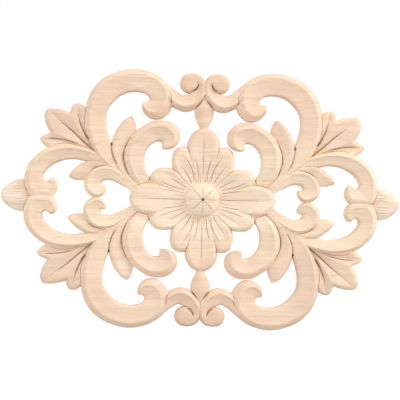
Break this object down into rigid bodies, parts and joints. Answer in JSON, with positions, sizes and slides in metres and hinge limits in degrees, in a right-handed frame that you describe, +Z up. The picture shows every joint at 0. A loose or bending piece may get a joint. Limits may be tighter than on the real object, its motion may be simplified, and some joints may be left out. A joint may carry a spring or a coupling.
{
  "type": "carved wood onlay",
  "caption": "Pierced symmetrical carving for fixing flat to a surface: a petalled flower among scrolls and leaves, with a flat back.",
  "frame": {"origin": "centre of the flat back, behind the middle of the flower", "axes": "upright as it is shown: +X along the length to the right, +Z up, the flat back in the plane y = 0 and the carved face towards -Y"},
  "size_m": [0.3, 0.012, 0.1938],
  "materials": {
    "pale_wood": "bare sanded pale wood, unfinished, with fine straight grain along the length"
  },
  "bodies": {
    "root": {"carved_onlay": "pale_wood"}
  },
  "joints": []
}
